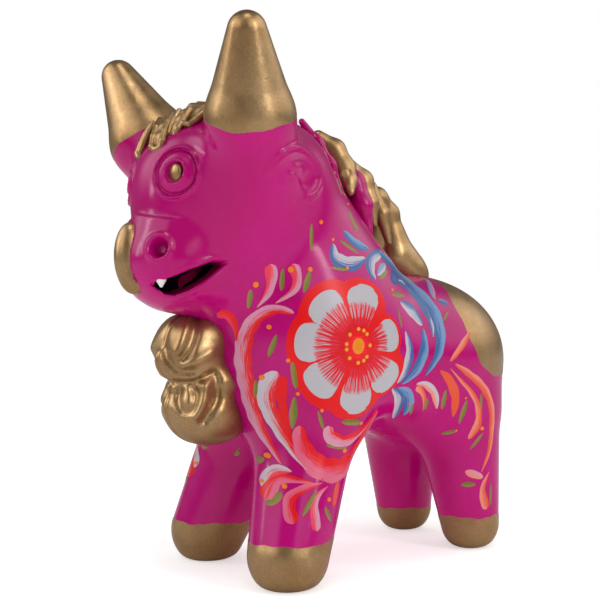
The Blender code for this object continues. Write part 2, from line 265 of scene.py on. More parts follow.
def add_mass(bm, kind, sizes, place=Matrix.Identity(4)):
    if kind == "egg":
        centre, radii = sizes
        matrix = place @ Matrix.Translation(centre) @ Matrix.Diagonal((*radii, 1.0))
        bmesh.ops.create_uvsphere(bm, u_segments=32, v_segments=16, radius=1.0, matrix=matrix)
        return
    a, ra, b, rb = sizes
    axis = Vector(b) - Vector(a)
    turn = axis.to_track_quat("Z", "Y").to_matrix().to_4x4()
    middle = place @ Matrix.Translation((Vector(a) + Vector(b)) / 2) @ turn
    bmesh.ops.create_cone(bm, cap_ends=True, segments=24, radius1=ra, radius2=rb,
                          depth=axis.length, matrix=middle)
    for end, radius in ((a, ra), (b, rb)):
        bmesh.ops.create_uvsphere(bm, u_segments=24, v_segments=12, radius=radius,
                                  matrix=place @ Matrix.Translation(end))


def slope_of(p, field, step=0.04):
    slope = np.empty_like(p)
    for axis in range(3):
        side = np.zeros(3)
        side[axis] = step
        slope[:, axis] = (field(p + side) - field(p - side)) / (2 * step)
    return slope


def settled(p, field, rounds=6):
    p = np.array(p, float)
    for _ in range(rounds):
        slope = slope_of(p, field)
        size2 = np.maximum((slope ** 2).sum(1), 0.25)
        p -= slope * np.clip(field(p) / size2, -3, 3)[:, None]
    return p


def outward(p, field):
    """The direction straight out of a form at each point, of length one."""
    slope = slope_of(p, field)
    return slope / np.maximum(np.linalg.norm(slope, axis=1), 1e-9)[:, None]


def points_of(mesh):
    p = np.empty(len(mesh.vertices) * 3)
    mesh.vertices.foreach_get("co", p)
    return p.reshape(-1, 3)


def move_points(mesh, p):
    mesh.vertices.foreach_set("co", p.ravel())
    mesh.update()


@contextmanager
def opened(mesh):
    """Opens a mesh for bmesh work, and writes it back."""
    bm = bmesh.new()
    bm.from_mesh(mesh)
    yield bm
    bm.to_mesh(mesh)
    bm.free()


def closed(bm, name):
    """A new mesh of what a bmesh holds."""
    mesh = bpy.data.meshes.new(name)
    bm.to_mesh(mesh)
    bm.free()
    return mesh


def new_object(name, data):
    obj = bpy.data.objects.new(name, data)
    bpy.context.scene.collection.objects.link(obj)
    return obj


def modified(mesh, kind, **settings):
    """A new mesh, as one modifier leaves the given one."""
    obj = new_object("work", mesh)
    modifier = obj.modifiers.new("work", kind)
    for key, value in settings.items():
        setattr(modifier, key, value)
    graph = bpy.context.evaluated_depsgraph_get()
    result = bpy.data.meshes.new_from_object(obj.evaluated_get(graph))
    bpy.data.objects.remove(obj)
    return result


def slotted(mesh):
    """Cuts the mouth's slot through the muzzle."""
    bm = bmesh.new()
    face = bm.faces.new([bm.verts.new((-SLOT_REACH, y, z)) for y, z in MOUTH])
    swept = bmesh.ops.extrude_face_region(bm, geom=[face])
    moved = [v for v in swept["geom"] if isinstance(v, bmesh.types.BMVert)]
    bmesh.ops.translate(bm, verts=moved, vec=(2 * SLOT_REACH, 0, 0))
    bmesh.ops.recalc_face_normals(bm, faces=bm.faces)
    bmesh.ops.transform(bm, matrix=TILT, verts=bm.verts)
    wedge = new_object("wedge", closed(bm, "wedge"))
    result = modified(mesh, "BOOLEAN", operation="DIFFERENCE", object=wedge)
    bpy.data.objects.remove(wedge)
    return result


def remeshed(mesh, cell):
    return modified(mesh, "REMESH", mode="VOXEL", voxel_size=cell)


def relaxed(mesh, field, times=2):
    """Evens out the cells of a mesh and lays it back on its form."""
    for _ in range(times):
        with opened(mesh) as bm:
            bmesh.ops.smooth_vert(bm, verts=bm.verts, factor=0.5, use_axis_x=True,
                                  use_axis_y=True, use_axis_z=True)
        move_points(mesh, settled(points_of(mesh), field, 3))


def separate_bodies(bm):
    """The vertices of each body that shares no edge with the others."""
    waiting = set(bm.verts)
    while waiting:
        body = set()
        front = [waiting.pop()]
        while front:
            vert = front.pop()
            body.add(vert)
            near = {e.other_vert(vert) for e in vert.link_edges} & waiting
            waiting -= near
            front.extend(near)
        yield body


def drop_crumbs(mesh):
    """Leaves only the largest body of a mesh."""
    with opened(mesh) as bm:
        for body in sorted(separate_bodies(bm), key=len)[:-1]:
            bmesh.ops.delete(bm, geom=list(body), context="VERTS")


def form_mesh(name, masses, field, cell, place=Matrix.Identity(4)):
    """A closed mesh of even cells on the surface of a form, still in millimetres."""
    bm = bmesh.new()
    for (kind, *sizes), _ in masses:
        add_mass(bm, kind, sizes, place)
    bmesh.ops.recalc_face_normals(bm, faces=bm.faces)
    mesh = closed(bm, name)
    for _ in range(2):
        mesh = remeshed(mesh, cell)
        move_points(mesh, settled(points_of(mesh), field))
    relaxed(mesh, field, 1)
    drop_crumbs(mesh)
    mesh.name = name
    return mesh


def flipped(sizes):
    return [(-v[0], v[1], v[2]) if isinstance(v, tuple) else v for v in sizes]


def refined(mesh, wanted, field):
    """Halves the cells wherever the wanted function holds."""
    p = points_of(mesh)
    hit = wanted(one_side(untilted(p)))
    with opened(mesh) as bm:
        edges = [e for e in bm.edges if hit[e.verts[0].index] and hit[e.verts[1].index]]
        bmesh.ops.subdivide_edges(bm, edges=edges, cuts=1, use_grid_fill=True)
    move_points(mesh, settled(points_of(mesh), field, 5))


def face_area(q):
    ear_reach = np.hypot((q[:, 1] + 41.7) / 19, (q[:, 2] - 142.8) / 13)
    return (((q[:, 1] < -60) & (q[:, 2] > 96) & (q[:, 2] < 160))
            | ((ear_reach < 1) & (q[:, 0] > 24)))


def fine_area(q):
    r, ahead = eye_reach(q)
    eyes = (r < 10.4) & (ahead > 0.5)
    ahead, off = round_about(q, NOSTRIL, NOSTRIL_FACING)
    noses = (np.linalg.norm(off, axis=1) < 6.5) & (ahead > -6)
    lips = (np.abs(mouth(q)) < 2.0) & (q[:, 1] < -50)
    return eyes | noses | lips


def make_skin_mesh():
    bm = bmesh.new()
    for table, place in ((TRUNK, Matrix.Identity(4)), (HEAD, TILT)):
        for (kind, *sizes), _ in table:
            add_mass(bm, kind, sizes, place)
            if kind == "taper":
                add_mass(bm, kind, flipped(sizes), place)
    bmesh.ops.recalc_face_normals(bm, faces=bm.faces)
    mesh = remeshed(closed(bm, "skin"), ROUGH_CELL)
    move_points(mesh, settled(points_of(mesh), skin))
    mesh = slotted(mesh)
    for _ in range(2):
        mesh = remeshed(mesh, SKIN_CELL)
        move_points(mesh, settled(points_of(mesh), modelled))
    relaxed(mesh, modelled)
    refined(mesh, face_area, modelled)
    refined(mesh, fine_area, modelled)
    relaxed(mesh, modelled, 1)
    return mesh


# ---- finishes -------------------------------------------------------------------------------

class Nodes:
    """A small helper that wires one material's nodes."""

    def __init__(self, name):
        self.material = bpy.data.materials.new(name)
        self.material.use_nodes = True
        self.tree = self.material.node_tree
        self.shader = self.tree.nodes["Principled BSDF"]

    def add(self, kind, inputs=(), **settings):
        node = self.tree.nodes.new("ShaderNode" + kind)
        for key, value in settings.items():
            setattr(node, key, value)
        for socket, value in dict(inputs).items():
            self.feed(node.inputs[socket], value)
        return node

    def feed(self, socket, value):
        if isinstance(value, bpy.types.NodeSocket):
            self.tree.links.new(value, socket)
        else:
            socket.default_value = value

    def set(self, **values):
        for key, value in values.items():
            self.feed(self.shader.inputs[key.replace("_", " ")], value)

    def place(self):
        return self.add("TexCoord").outputs["Object"]

    def noise(self, vector, scale, detail=3.0, rough=0.5):
        node = self.add("TexNoise", {"Vector": vector, "Scale": scale, "Detail": detail,
                                     "Roughness": rough})
        return node.outputs["Fac"]

    def blend(self, fac, a, b):
        node = self.add("Mix", data_type="RGBA")
        self.feed(node.inputs[0], fac)
        self.feed(node.inputs[6], a)
        self.feed(node.inputs[7], b)
        return node.outputs[2]

    def math(self, operation, a, b=0.0):
        node = self.add("Math", operation=operation)
        self.feed(node.inputs[0], a)
        self.feed(node.inputs[1], b)
        return node.outputs[0]

    def span(self, value, low, high, out_low=0.0, out_high=1.0):
        node = self.add("MapRange", {"From Min": low, "From Max": high, "To Min": out_low,
                                     "To Max": out_high}, interpolation_type="SMOOTHSTEP")
        self.feed(node.inputs["Value"], value)
        return node.outputs[0]

    def attribute(self, name):
        return self.add("Attribute", attribute_name=name)

    def bump(self, height, strength, distance):
        node = self.add("Bump", {"Height": height, "Strength": strength, "Distance": distance})
        return node.outputs["Normal"]


def srgb(r, g, b):
    def linear(c):
        c /= 255
        return c / 12.92 if c <= 0.04045 else ((c + 0.055) / 1.055) ** 2.4
    return (linear(r), linear(g), linear(b), 1.0)


def glaze_finish():
    n = Nodes("magenta_glaze")
    place = n.place()
    cloud = n.span(n.noise(place, 28, 3), 0.3, 0.7)
    colour = n.blend(cloud, srgb(170, 0, 100), srgb(180, 0, 112))
    fine = n.span(n.noise(place, 420, 2), 0.35, 0.65)
    colour = n.blend(n.math("MULTIPLY", fine, 0.15), colour, srgb(158, 0, 84))
    # Painted shade in the mouth: the further a point lies inside the muzzle's moulded outside, the
    # darker the magenta, and deeper still it turns black with a ragged edge. Where it is deep the
    # glaze is also rough and hardly reflects.
    inside = n.attribute("depth").outputs["Fac"]
    ragged_shade_depth = n.math("ADD", inside, n.math("MULTIPLY", n.noise(place, 900, 2), 1.2))
    colour = n.blend(n.span(inside, 0.2, 1.4), colour, srgb(124, 0, 56))
    colour = n.blend(n.span(ragged_shade_depth, 5.0, 5.6), colour, (0.002, 0.001, 0.001, 1))
    wave = n.noise(place, 60, 2)
    dull = n.span(inside, 0.8, 3.0)
    rough = n.span(n.noise(place, 140, 2), 0.3, 0.7, 0.12, 0.2)
    n.set(Base_Color=colour, Roughness=n.math("MAXIMUM", rough, n.math("MULTIPLY", dull, 0.9)),
          Specular_IOR_Level=n.span(dull, 0.0, 1.0, 0.3, 0.02),
          Normal=n.bump(wave, 0.08, 0.001))
    return n.material


def gilt_finish():
    n = Nodes("gilt")
    place = n.place()
    cloud = n.span(n.noise(place, 45, 4, 0.6), 0.3, 0.7)
    colour = n.blend(cloud, srgb(158, 124, 82), srgb(180, 148, 106))
    grain = n.span(n.noise(place, 1300, 2), 0.3, 0.7)
    colour = n.blend(n.math("MULTIPLY", grain, 0.25), colour, srgb(122, 88, 54))
    rough = n.span(n.noise(place, 260, 3), 0.3, 0.7, 0.3, 0.4)
    n.set(Base_Color=colour, Roughness=rough, Metallic=0.85,
          Normal=n.bump(n.noise(place, 900, 3), 0.10, 0.0005))
    return n.material


def ivory_finish():
    n = Nodes("ivory_glaze")
    cloud = n.noise(n.place(), 300, 2)
    n.set(Base_Color=n.blend(cloud, srgb(232, 230, 226), srgb(205, 202, 200)), Roughness=0.2)
    return n.material


def paint_finish(name):
    """Brushed paint: streaks of the stroke's two colours, run along the stroke."""
    n = Nodes(name)
    uv = n.add("UVMap", uv_map="stroke").outputs["UV"]
    split = n.add("SeparateXYZ", {"Vector": uv})
    along, across = split.outputs["X"], split.outputs["Y"]
    lie = n.add("CombineXYZ", {"X": n.math("MULTIPLY", along, 0.05), "Y": across})
    streak = n.noise(lie.outputs["Vector"], 2.2, 4, 0.65)
    fine = n.noise(lie.outputs["Vector"], 7.0, 3, 0.6)
    first = n.attribute("first").outputs["Color"]
    second = n.attribute("second").outputs["Color"]
    side = n.attribute("share").outputs["Fac"]
    push = n.math("MULTIPLY", n.math("SUBTRACT", streak, 0.5), 1.7)
    mix = n.span(n.math("ADD", side, push), 0.3, 0.7)
    colour = n.blend(mix, first, second)
    worn = n.math("MULTIPLY", n.span(fine, 0.52, 0.72), 0.35)
    colour = n.blend(worn, colour, n.blend(0.5, first, second))
    n.set(Base_Color=colour, Roughness=0.28, Specular_IOR_Level=0.3,
          Normal=n.bump(fine, 0.08, 0.0002))
    return n.material


GLAZE = glaze_finish()
GILT = gilt_finish()
IVORY = ivory_finish()


# ---- pieces ---------------------------------------------------------------------------------

def add_piece(name, mesh, finish, nodes=(), normals=None):
    mesh.transform(TO_METRES)
    mesh.name = name
    mesh.materials.clear()
    mesh.materials.append(finish)
    mesh.shade_smooth()
    if normals is not None:
        mesh.normals_split_custom_set_from_vertices(normals.tolist())
    obj = new_object(name, mesh)
    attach(obj, "root")
    if nodes:
        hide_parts(*nodes)


def mark_shade_depth(mesh):
    """Tells the glaze how far each point lies inside the moulded outside of the muzzle, for its
    painted shade.
    """
    p = points_of(mesh)
    q = untilted(p)
    depth = np.where((q[:, 2] > 98) & (q[:, 2] < 117) & (q[:, 1] < -50), -skin(p), 0.0)
    mesh.attributes.new("depth", "FLOAT", "POINT").data.foreach_set("value", depth)


def patch(name, source, border, nodes=()):
    """A layer of gold paint on the part of the skin where the border function is negative."""
    bm = bmesh.new()
    bm.from_mesh(source)
    reach = border(points_of(source))
    far = [v for v in bm.verts if reach[v.index] > KEPT_PAST_BORDER]
    bmesh.ops.delete(bm, geom=far, context="VERTS")
    bm.verts.index_update()

    def at_border(limit):
        p = np.array([v.co for v in bm.verts])
        close = np.abs(border(p)) < limit
        return [e for e in bm.edges if close[e.verts[0].index] and close[e.verts[1].index]]
    bmesh.ops.subdivide_edges(bm, edges=at_border(FINE_BORDER), cuts=1, use_grid_fill=True)
    bm.verts.index_update()
    p = np.array([v.co for v in bm.verts])
    reach = border(p)
    outside = [f for f in bm.faces if np.mean([reach[v.index] for v in f.verts]) > 0]
    bmesh.ops.delete(bm, geom=outside, context="FACES")
    loose = [v for v in bm.verts if not v.link_faces]
    bmesh.ops.delete(bm, geom=loose, context="VERTS")
    bm.verts.index_update()
    p = np.array([v.co for v in bm.verts])
    rim = np.array([v.is_boundary for v in bm.verts])
    edge = p[rim]
    for _ in range(4):
        slope = slope_of(edge, border)
        normal = outward(edge, skin)
        slope -= (slope * normal).sum(1)[:, None] * normal
        size2 = np.maximum((slope ** 2).sum(1), 0.1)
        edge = edge - slope * np.clip(border(edge) / size2, -0.8, 0.8)[:, None]
    p[rim] = edge
    p = settled(p, modelled, 3)
    normal = outward(p, modelled)
    p += normal * np.where(rim, GILDING_RIM, GILDING)[:, None]
    for vert, point in zip(bm.verts, p):
        vert.co = point
    add_piece(name, closed(bm, name), GILT, nodes, normal)


def horn_border(side):
    root = TILT @ (Vector(HORN_ROOT) * Vector((side, 1, 1)))
    tip = TILT @ (Vector(HORN_TIP) * Vector((side, 1, 1)))
    axis = np.array((tip - root).normalized())
    root = np.array(root)

    def border(p):
        away = p - root
        turn = np.arctan2(away[:, 1], away[:, 0])
        height = away @ axis - 0.45 * np.sin(3 * turn + side) - 0.2 * np.sin(8 * turn)
        return -height + np.where(p[:, 0] * side > 0, 0, FAR_OUT)
    return border


def hoof_border(height, side, low, high):
    def border(p):
        turn = np.arctan2(p[:, 1] - (low + high) / 2, p[:, 0] - side * LEG_ASIDE)
        wave = 0.35 * np.sin(4 * turn + height) + 0.18 * np.sin(11 * turn)
        here = (p[:, 0] * side > 0) & (p[:, 1] > low) & (p[:, 1] < high)
        return np.where(here, p[:, 2] - height - wave, FAR_OUT)
    return border


def rump_border(p):
    y, z, radius = RUMP
    reach = np.hypot(p[:, 1] - y, p[:, 2] - z)
    turn = np.arctan2(p[:, 2] - z, p[:, 1] - y)
    wave = 0.5 * np.sin(5 * turn) + 0.3 * np.sin(13 * turn + 1)
    return np.where(p[:, 1] > RUMP_FRONT, reach - radius - wave, FAR_OUT)


def sprig(name, masses, cell, nodes, finish=GILT, detail=None, on_head=False):
    """A piece luted on the skin, its underside sunk a little into it."""
    def field(p):
        q = untilted(p) if on_head else p
        d = clay(q, masses)
        if detail is not None:
            d = d - detail(q)
        return np.maximum(d, -skin(p) - SPRIG_SUNK)
    mesh = form_mesh(name, masses, field, cell, TILT if on_head else Matrix.Identity(4))
    add_piece(name, mesh, finish, nodes)


def bead(name, masses, finish, node):
    """A small solid in the head, which the skin doesn't trim."""
    def field(p):
        return clay(untilted(p), masses)
    add_piece(name, form_mesh(name, masses, field, BEAD_CELL, TILT), finish, [node])


def rod(path, radii, fillet=2):
    return tuple((("taper", a, ra, b, rb), fillet)
                 for a, b, ra, rb in zip(path, path[1:], radii, radii[1:]))


# ---- the bull -------------------------------------------------------------------------------

SHELL_NODES = ["torso_shell_left", "torso_shell_right", "head_shell", "eye_ring_left",
               "eye_ring_right", "nostril_ring_left", "nostril_ring_right", "ear_left",
               "ear_right", "front_leg_left", "front_leg_right", "hind_leg_left",
               "hind_leg_right"]


def make_body():
    mesh = make_skin_mesh()
    source = mesh.copy()
    mark_shade_depth(mesh)
    add_piece("glazed_skin", mesh, GLAZE, SHELL_NODES,
              outward(points_of(mesh), modelled))
    for side, word in ((1, "left"), (-1, "right")):
        patch(f"horn_gilding_{word}", source, horn_border(side), [f"horn_{word}"])
        for end, low, high in (("front", -90, WAIST), ("hind", WAIST, 100)):
            patch(f"{end}_hoof_{word}", source,
                  hoof_border(HOOF_BORDERS[f"{end}_{word}"], side, low, high))
    patch("rump_gilding", source, rump_border)
    bpy.data.meshes.remove(source)


def make_mouth_hollow():
    """The inside of the muzzle behind the lips, painted black as shade except near its floor."""
    throat = ((("egg", (0, -62, 108), (12, 16, 7)), 0),)

    def hollow(p):
        return np.maximum(skin(p) + 4.0, mouth(untilted(p)) - 0.7)
    inner = form_mesh("mouth_hollow", throat, hollow, 0.5, TILT)
    q = untilted(points_of(inner))
    floor_y, floor_z = zip(*sorted(MOUTH[:MOUTH_FLOOR]))
    rise = q[:, 2] - np.interp(q[:, 1], floor_y, floor_z)
    # Painted shade: low on the floor the plug stays dark magenta, higher up it is black.
    shade = np.clip(rise * 4.0 + 1.0, 1.0, 8.0)
    inner.attributes.new("depth", "FLOAT", "POINT").data.foreach_set("value", shade)
    add_piece("mouth_hollow", inner, GLAZE)


def make_face():
    make_mouth_hollow()
    for side, word in ((1, "left"), (-1, "right")):
        pupil = (side * EYE[0] - side * 1.9, EYE[1] + 1.5, EYE[2] - 0.3)
        bead(f"pupil_gilding_{word}", ((("egg", pupil, (3.8, 2.0, 3.9)), 0),), GILT,
             f"pupil_{word}")
        root, tip = (side * 11.8, -80.6, 109.2), (side * 11.4, -80.4, 106.7)
        bead(f"fang_{word}", ((("taper", root, 1.9, tip, 0.6), 0),), IVORY,
             f"tooth_{word}")
    tongue = ((("egg", (-2.2, -84.4, 117), (5.4, 6.2, 12.2)), 0),
              (("egg", (0, -82, 108.6), (4.4, 4.4, 4.0)), 4))
    sprig("gilded_tongue", tongue, 0.6, ["tongue"], on_head=True)


# Each strand of the forelock is its tip and its root, in the head's upright frame.
STRANDS = (
    ((-8.9, -75.4, 153.4), (-8, -71, 163.3)),
    ((4.4, -75.4, 155.0), (-2, -67.8, 163.7)),
    ((6.0, -70.4, 159.6), (4.5, -65, 167.2)),
    ((8.6, -67, 163.8), (12, -60.2, 169.6)),
    ((9.5, -50, 166.5), (-1, -57, 168.5)),
)
# Each lock and ridge of the mane is its points, from the crest down, and its radius at each.
LOCKS = (
    (((2, -6, 162), (4, 0, 157), (7, 2.5, 150), (11, 1.5, 145), (15, -0.5, 140.5)),
     (2.6, 4.2, 4.2, 3.2, 1.4)),
    (((2, 8, 151.5), (4, 13, 145.5), (7, 14.5, 137), (9, 15, 129)), (3.0, 4.4, 3.4, 1.4)),
    (((2, 18, 143), (6, 21, 133), (8, 23, 122)), (3.4, 3.0, 1.4)),
)
MANE_RIDGES = (
    (((13, -21, 166), (17, -17, 158), (20, -14, 150), (22, -10.5, 141)), (1.2, 2.0, 2.2, 1.2)),
    (((5, 4, 151), (9, 6, 144.5), (12.5, 7, 136), (15.5, 8, 124)), (3.0, 3.6, 3.4, 1.4)),
)


def strand_masses(path):
    """A strand lying on the brow: a solid core, and a thin curl round its edge."""
    tip, root = (np.array(TILT @ Vector(point)) for point in path)
    middle = [tip + (root - tip) * t for t in (0, 0.33, 0.67, 1)]
    middle = settled(np.array(middle), skin)
    out = outward(middle, skin)
    middle += out * np.array([[0.5], [1.4], [2.6], [3.8]])
    aside = np.cross(out, root - tip)
    aside *= (2.6 / np.linalg.norm(aside, axis=1))[:, None]
    along = (root - tip) / np.linalg.norm(root - tip)
    left, right = middle + aside, middle - aside
    curl = [tuple(v) for v in (*left[::-1], tip + along * -1.6 + aside[0] * 0.45 + out[0] * 0.3,
                               tip - along * 1.6 - aside[0] * 0.45 + out[0] * 0.3, *right)]
    core = [tuple(v) for v in middle - out * 2.2]
    return rod(core, (2.2, 2.4, 2.6, 2.8), 0.8) + rod(curl, (1.15,) * len(curl), 0.3)


def make_forelock():
    for number, path in enumerate(STRANDS, 1):
        masses = strand_masses(path)
        if number == len(STRANDS):
            crown = tuple(TILT @ Vector((0, -57, 165.5)))
            masses += ((("egg", crown, (9, 7.5, 5.5)), 2),)
        sprig(f"gilded_strand_{number}", masses, 0.4, [f"forelock_strand_{number}"])


def make_mane():
    for side, word in ((1, "left"), (-1, "right")):
        for number, (path, radii) in enumerate(LOCKS, 1):
            masses = rod([(side * x, y, z) for x, y, z in path], radii)
            sprig(f"gilded_lock_{number}_{word}", masses, 0.6, [f"mane_lock_{number}_{word}"])
        for number, (path, radii) in enumerate(MANE_RIDGES, 1):
            masses = rod([(side * x, y, z) for x, y, z in path], radii, 3)
            sprig(f"mane_ridge_{number}_{word}", masses, 0.6, (), GLAZE)


def line_distance(u, w, path):
    """Distance in a drawing plane to an open line through the given points."""
    nearest = np.full(len(u), 1e9)
    for (u0, w0), (u1, w1) in zip(path, path[1:]):
        eu, ew = u1 - u0, w1 - w0
        t = np.clip(((u - u0) * eu + (w - w0) * ew) / (eu * eu + ew * ew), 0, 1)
        nearest = np.minimum(nearest, np.hypot(u - u0 - t * eu, w - w0 - t * ew))
    return nearest


# Lines in the dewlap's curls, as (way round from the seam, height), with rise and width
CURLS = (
    (((3.6, 95), (2.6, 88.2), (4.2, 81.5), (8, 77.6), (13, 77)), -1.5, 1.8),
    (((13.6, 97), (13.6, 91), (12.2, 85.7), (9.6, 81.5)), -1.7, 1.8),
    (((11.4, 95), (9.6, 90), (7.6, 84.5)), 1.3, 2.2),
    (((10.4, 79.2), (14.6, 80.6), (19.5, 83.4)), 1.0, 1.8),
    (((1.0, 73.0), (8, 72.6), (14, 73.2), (20, 76)), -1.6, 1.3),
    (((8.2, 70), (7.6, 66), (9.6, 62.6), (13, 63.6), (14, 67.6), (13.2, 70.6)), -1.4, 1.5),
    (((17.4, 71), (16.6, 66.5), (14, 60.8)), 1.3, 1.7),
    (((20.8, 73.5), (20.6, 66), (16.6, 59.4)), -1.6, 1.7),
)


def dewlap_grooves(p):
    """The seam down the middle of the dewlap and the curls in its lobes."""
    x, z = np.abs(p[:, 0]), p[:, 2]
    around = 0.58 * x + 0.815 * (p[:, 1] + 75)
    h = -1.2 * ridge(x, 0.7)
    for path, rise, width in CURLS:
        h += rise * ridge(line_distance(around, z, spline(path, 16)), width)
    return h


def make_dewlap():
    masses = ((("egg", (0, -59, 88), (12.5, 13, 9)), 0),
              (("egg", (0, -62, 81), (13, 13, 10)), 5),
              (("egg", (6, -64, 81), (7, 8, 9)), 2),
              (("egg", (-6, -64, 81), (7, 8, 9)), 2),
              (("egg", (0, -55, 72), (14, 15, 9)), 5),
              (("egg", (0, -58, 63), (13.5, 14, 10)), 3),
              (("egg", (0, -54, 57.5), (12.5, 14, 9)), 5),
              (("egg", (6, -62, 64), (7, 8, 8)), 2),
              (("egg", (-6, -62, 64), (7, 8, 8)), 2))
    sprig("gilded_dewlap", masses, 0.6, ["dewlap_upper", "dewlap_lower"], detail=dewlap_grooves)


def make_tail_and_handle():
    tail = ((("taper", (0, 76, 90), 4.5, (2, 80, 72), 4.0), 0),
            (("taper", (2, 80, 72), 4.0, (3, 76, 52), 5.0), 2),
            (("egg", (3, 73, 44), (6, 6, 10)), 4))
    sprig("gilded_tail", tail, 0.8, ["tail"])
    loop = ((("taper", (0, 15, 140), 4.5, (0, 23, 139), 4.6), 0),
            (("taper", (0, 23, 139), 4.6, (0, 29, 133), 4.4), 2),
            (("taper", (0, 29, 133), 4.4, (0, 31, 124), 4.8), 2),
            (("taper", (0, 31, 124), 4.8, (0, 39, 112), 6.0), 4),
            (("taper", (0, 32, 116), 7.0, (0, 41, 108), 7.0), 4),
            (("egg", (0, 23, 127), (2.2, 9, 12)), 1))
    sprig("gilded_handle", loop, 0.7, ["back_handle"])


# ---- brushwork ------------------------------------------------------------------------------

RIGHT = np.array((math.cos(FLANK_TURN), math.sin(FLANK_TURN), 0.0))
OUT = np.array((math.sin(FLANK_TURN), -math.cos(FLANK_TURN), 0.0))
UP = np.array((0.0, 0.0, 1.0))

RED = srgb(216, 0, 8)
PINK = srgb(212, 98, 128)
ROSE = srgb(222, 52, 76)
WHITE = srgb(186, 178, 188)
PALE = srgb(204, 138, 164)
BLUE = srgb(52, 90, 146)
SKY = srgb(110, 142, 182)
CORAL = srgb(216, 78, 46)
PEACH = srgb(222, 130, 112)
LEAF = srgb(104, 114, 26)
OLIVE = srgb(140, 118, 66)
ORANGE = srgb(214, 126, 4)

# A stroke is its path in the drawing plane (millimetres sideways and up from the heart), its
# greatest width, its shape, and the colours of its left and right half.
RED_STROKES = (
    (((-23, 12), (-29, 13.5), (-35, 11), (-38.6, 5), (-39.6, -4), (-37.6, -15.5), (-34.5, -26.5),
      (-28, -41)), 5.6, "sweep", RED, PALE),
    (((-48.5, 12.5), (-44, 11), (-41.8, 6.5), (-41.5, 1.5)), 3.8, "comma", RED, ROSE),
    (((-31, 29.5), (-30.4, 24), (-31.7, 19), (-35.5, 14)), 4.8, "comma", PALE, ROSE),
    (((-23, 29.5), (-21.6, 24), (-23.3, 19.7), (-29.5, 15.5)), 4.2, "comma", PALE, ROSE),
    (((-27, -9.5), (-27.6, -15), (-26.7, -23), (-24, -34)), 4.0, "comma", RED, RED),
    (((-28.8, -8), (-31.8, -13), (-32.2, -18.5), (-29.4, -26), (-25.3, -34), (-20, -41.5),
      (-13.7, -47)), 6.6, "comma", RED, WHITE),
    (((-21.5, -27), (-21.7, -32), (-19.7, -37.7), (-14.2, -42.5), (-5.3, -43.5), (3, -38),
      (11.5, -24.5)), 9.0, "sweep", RED, PINK),
    (((-11.5, -27.5), (-10.8, -31.5), (-5.5, -34), (1.2, -32.3), (8.6, -27.5), (10.5, -23.5)),
     5.4, "comma", RED, PALE),
    (((-25, -43), (-29.3, -42.4), (-31.8, -44.2), (-33.0, -47.5), (-33.2, -51.5)), 3.8, "leaf",
     ROSE, WHITE),
    (((-18, -47), (-23, -45.9), (-27.6, -45.3), (-31.1, -47), (-34.0, -53.0)), 5.4, "club",
     PINK, RED),
    (((-14.3, -47.3), (-20.8, -48.3), (-26, -51.1), (-27.2, -55), (-26.4, -60.5)), 6.0, "club",
     RED, PINK),
    (((-12.5, -48.5), (-16.4, -51), (-18.4, -55), (-18.3, -59), (-18, -63.5)), 4.8, "club",
     PALE, ROSE),
    (((-8, -47.4), (-9, -52), (-10.4, -56.5)), 2.6, "leaf", ROSE, CORAL),
)
BLUE_STROKES = (
    (((-2.6, 41), (2.6, 36.5), (9.4, 34)), 3.8, "leaf", SKY, BLUE),
    (((-7.4, 36.5), (-6.7, 31.3), (-1, 29), (6.7, 31)), 5.8, "leaf", WHITE, BLUE),
    (((17.4, 33.8), (9.3, 30.5), (8.2, 26), (9.8, 23)), 4.8, "leaf", WHITE, BLUE),
    (((16.5, 29), (10.8, 24.6)), 3.2, "leaf", WHITE, SKY),
    (((14, 33.5), (22, 28), (30, 21.5), (36.5, 12.5), (38, 2.7), (36.1, -5.2), (30.6, -13)),
     6.4, "sweep", SKY, BLUE),
    (((18, 30.5), (25, 24), (31, 17), (34.5, 8), (34.5, 1)), 4.6, "sweep", WHITE, BLUE),
    (((21.6, 22.5), (28.3, 19.8), (33.7, 14), (35, 6.8)), 4.5, "leaf", WHITE, BLUE),
    (((21, 15), (26.7, 11.1), (30.6, 5.5)), 4.8, "leaf", BLUE, WHITE),
    (((21.8, 4.3), (23.3, -2.9), (21.3, -10.9), (18.3, -15.2)), 3.8, "leaf", BLUE, WHITE),
    (((30.4, 4.7), (29.8, -3.3), (26.3, -10.5), (20.4, -15.5)), 4.5, "leaf", SKY, BLUE),
    (((16.3, -16.6), (20.4, -20.4), (21.8, -25.2), (22.2, -30.2)), 4.5, "leaf", BLUE, WHITE),
    (((19, -16.8), (24.1, -20), (26, -24.4), (25.9, -29)), 5.1, "leaf", SKY, BLUE),
    (((41.5, 14.6), (45.9, 12.8)), 2.1, "leaf", SKY, BLUE),
    (((44, 23), (40.5, 17), (40.5, 14.5)), 2.6, "leaf", PALE, SKY),
)
CORAL_STROKES = (
    (((27.2, -16.7), (30.4, -19.3), (32.4, -22.7), (33.3, -27.8)), 2.8, "comma", CORAL, PEACH),
    (((27, -16), (31, -16.2), (35.2, -19.2), (37.5, -23), (38.9, -27)), 3.2, "leaf", WHITE, PEACH),
    (((37.1, -11.2), (41.7, -15.1), (45.4, -21), (46.1, -25.6), (45.9, -30.6)), 4.1, "leaf",
     CORAL, CORAL),
    (((41.7, -10.7), (47.4, -15.9), (52.7, -20.8), (56.2, -26.5), (56.5, -33.3), (53, -39.6)),
     3.9, "club", CORAL, PEACH),
    (((44, -9.3), (50.5, -13.2), (57.8, -18.5), (62.5, -25.3), (63.6, -34), (62.7, -44.1),
      (58.8, -53.2)), 3.4, "sweep", PEACH, CORAL),
    (((62.9, -52.9), (59.9, -59.7), (61.9, -68.4)), 4.6, "club", CORAL, PEACH),
    (((52.2, -52.2), (56.4, -53.8), (60.2, -55.2)), 3.4, "leaf", PALE, PEACH),
    (((53, 2.8), (47.7, -2.6), (41.6, -8.4)), 2.8, "leaf", CORAL, PEACH),
)
